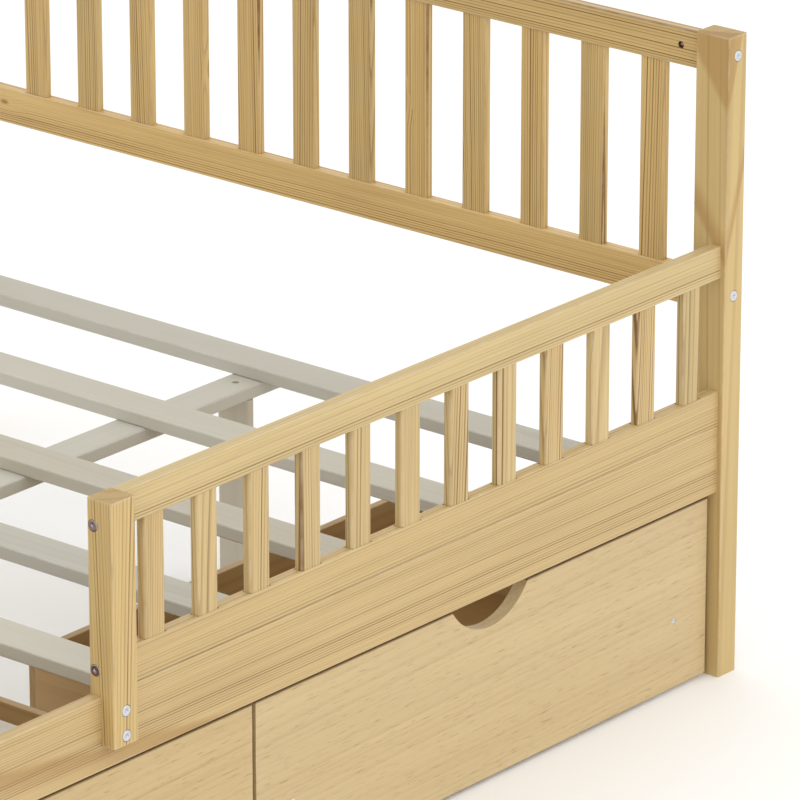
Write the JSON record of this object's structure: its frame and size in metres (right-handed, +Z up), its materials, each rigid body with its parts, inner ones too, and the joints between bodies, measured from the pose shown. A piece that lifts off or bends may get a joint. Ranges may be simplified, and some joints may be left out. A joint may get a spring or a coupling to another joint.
{
  "type": "platform bed with storage drawers",
  "caption": "Slatted pine platform bed with tall headboard, low footboard, partial side guard and roll-out storage drawers with finger notches.",
  "frame": {"origin": "on the floor, at the middle of the whole bed's footprint", "axes": "+X along the bed to the head end, -Y to the drawer side, +Z up"},
  "size_m": [1.9692, 1.5298, 0.915],
  "materials": {
    "pine": "clear satin lacquer over natural pine",
    "drawer_front_pine": "clear satin lacquer over pine board",
    "pale_wood": "raw pale planed wood",
    "drawer_board": "plain brown board",
    "zinc_steel": "bright zinc plate",
    "dark_steel": "dark zinc plate",
    "wheel_plastic": "moulded nylon"
  },
  "bodies": {
    "bed_frame": {"head_post_front": "pine", "head_post_back": "pine", "foot_post_front": "pine", "foot_post_back": "pine", "headboard_top_rail": "pine", "headboard_bottom_rail": "pine", "headboard_slats": "pine", "footboard_top_rail": "pine", "footboard_bottom_rail": "pine", "footboard_slats": "pine", "side_rail_front": "pine", "side_rail_back": "pine", "slat_cleat_front": "pale_wood", "slat_cleat_back": "pale_wood", "bed_slats": "pale_wood", "center_beam": "pale_wood", "center_leg_head": "pale_wood", "center_leg_middle": "pale_wood", "center_leg_foot": "pale_wood", "guard_post": "pine", "guard_top_rail": "pine", "guard_bottom_rail": "pine", "guard_slats": "pine", "guard_dowels": "pale_wood", "panel_bolts": "zinc_steel", "side_rail_bolts": "zinc_steel", "guard_end_bolts": "dark_steel", "guard_post_bolts": "zinc_steel", "guard_post_nuts": "zinc_steel", "barrel_nuts": "dark_steel", "slat_screws": "zinc_steel", "cleat_screws": "zinc_steel", "beam_screws": "dark_steel"},
    "drawer_right": {"drawer_right_front": "drawer_front_pine", "drawer_right_side_left": "drawer_board", "drawer_right_side_right": "drawer_board", "drawer_right_back": "drawer_board", "drawer_right_bottom": "drawer_board", "drawer_right_bearers": "drawer_board", "drawer_right_caster_brackets": "zinc_steel", "drawer_right_caster_axles": "zinc_steel", "drawer_right_screws": "zinc_steel"},
    "drawer_left": {"drawer_left_front": "drawer_front_pine", "drawer_left_side_left": "drawer_board", "drawer_left_side_right": "drawer_board", "drawer_left_back": "drawer_board", "drawer_left_bottom": "drawer_board", "drawer_left_bearers": "drawer_board", "drawer_left_caster_brackets": "zinc_steel", "drawer_left_caster_axles": "zinc_steel", "drawer_left_screws": "zinc_steel"},
    "right_front_left_wheel": {"drawer_right_wheel_front_left": "wheel_plastic"},
    "right_front_right_wheel": {"drawer_right_wheel_front_right": "wheel_plastic"},
    "right_back_left_wheel": {"drawer_right_wheel_back_left": "wheel_plastic"},
    "right_back_right_wheel": {"drawer_right_wheel_back_right": "wheel_plastic"},
    "left_front_left_wheel": {"drawer_left_wheel_front_left": "wheel_plastic"},
    "left_front_right_wheel": {"drawer_left_wheel_front_right": "wheel_plastic"},
    "left_back_left_wheel": {"drawer_left_wheel_back_left": "wheel_plastic"},
    "left_back_right_wheel": {"drawer_left_wheel_back_right": "wheel_plastic"}
  },
  "joints": [
    {"name": "drawer_right_slide", "type": "slide", "parent": "bed_frame", "child": "drawer_right", "axis": [0, -1, 0], "range_m": [0, 0.42]},
    {"name": "drawer_left_slide", "type": "slide", "parent": "bed_frame", "child": "drawer_left", "axis": [0, -1, 0], "range_m": [0, 0.42]},
    {"name": "right_front_left_wheel_roll", "type": "hinge", "parent": "drawer_right", "child": "right_front_left_wheel", "pos_m": [0.15, -0.65625, 0.018], "axis": [1, 0, 0], "continuous": true},
    {"name": "right_front_right_wheel_roll", "type": "hinge", "parent": "drawer_right", "child": "right_front_right_wheel", "pos_m": [0.789, -0.65625, 0.018], "axis": [1, 0, 0], "continuous": true},
    {"name": "right_back_left_wheel_roll", "type": "hinge", "parent": "drawer_right", "child": "right_back_left_wheel", "pos_m": [0.15, -0.35625, 0.018], "axis": [1, 0, 0], "continuous": true},
    {"name": "right_back_right_wheel_roll", "type": "hinge", "parent": "drawer_right", "child": "right_back_right_wheel", "pos_m": [0.789, -0.35625, 0.018], "axis": [1, 0, 0], "continuous": true},
    {"name": "left_front_left_wheel_roll", "type": "hinge", "parent": "drawer_left", "child": "left_front_left_wheel", "pos_m": [-0.789, -0.65625, 0.018], "axis": [1, 0, 0], "continuous": true},
    {"name": "left_front_right_wheel_roll", "type": "hinge", "parent": "drawer_left", "child": "left_front_right_wheel", "pos_m": [-0.15, -0.65625, 0.018], "axis": [1, 0, 0], "continuous": true},
    {"name": "left_back_left_wheel_roll", "type": "hinge", "parent": "drawer_left", "child": "left_back_left_wheel", "pos_m": [-0.789, -0.35625, 0.018], "axis": [1, 0, 0], "continuous": true},
    {"name": "left_back_right_wheel_roll", "type": "hinge", "parent": "drawer_left", "child": "left_back_right_wheel", "pos_m": [-0.15, -0.35625, 0.018], "axis": [1, 0, 0], "continuous": true}
  ],
  "couplings": [
    {"joint": "right_front_left_wheel_roll", "follows": "drawer_right_slide", "rad_per_m": 55.556},
    {"joint": "right_front_right_wheel_roll", "follows": "drawer_right_slide", "rad_per_m": 55.556},
    {"joint": "right_back_left_wheel_roll", "follows": "drawer_right_slide", "rad_per_m": 55.556},
    {"joint": "right_back_right_wheel_roll", "follows": "drawer_right_slide", "rad_per_m": 55.556},
    {"joint": "left_front_left_wheel_roll", "follows": "drawer_left_slide", "rad_per_m": 55.556},
    {"joint": "left_front_right_wheel_roll", "follows": "drawer_left_slide", "rad_per_m": 55.556},
    {"joint": "left_back_left_wheel_roll", "follows": "drawer_left_slide", "rad_per_m": 55.556},
    {"joint": "left_back_right_wheel_roll", "follows": "drawer_left_slide", "rad_per_m": 55.556}
  ]
}
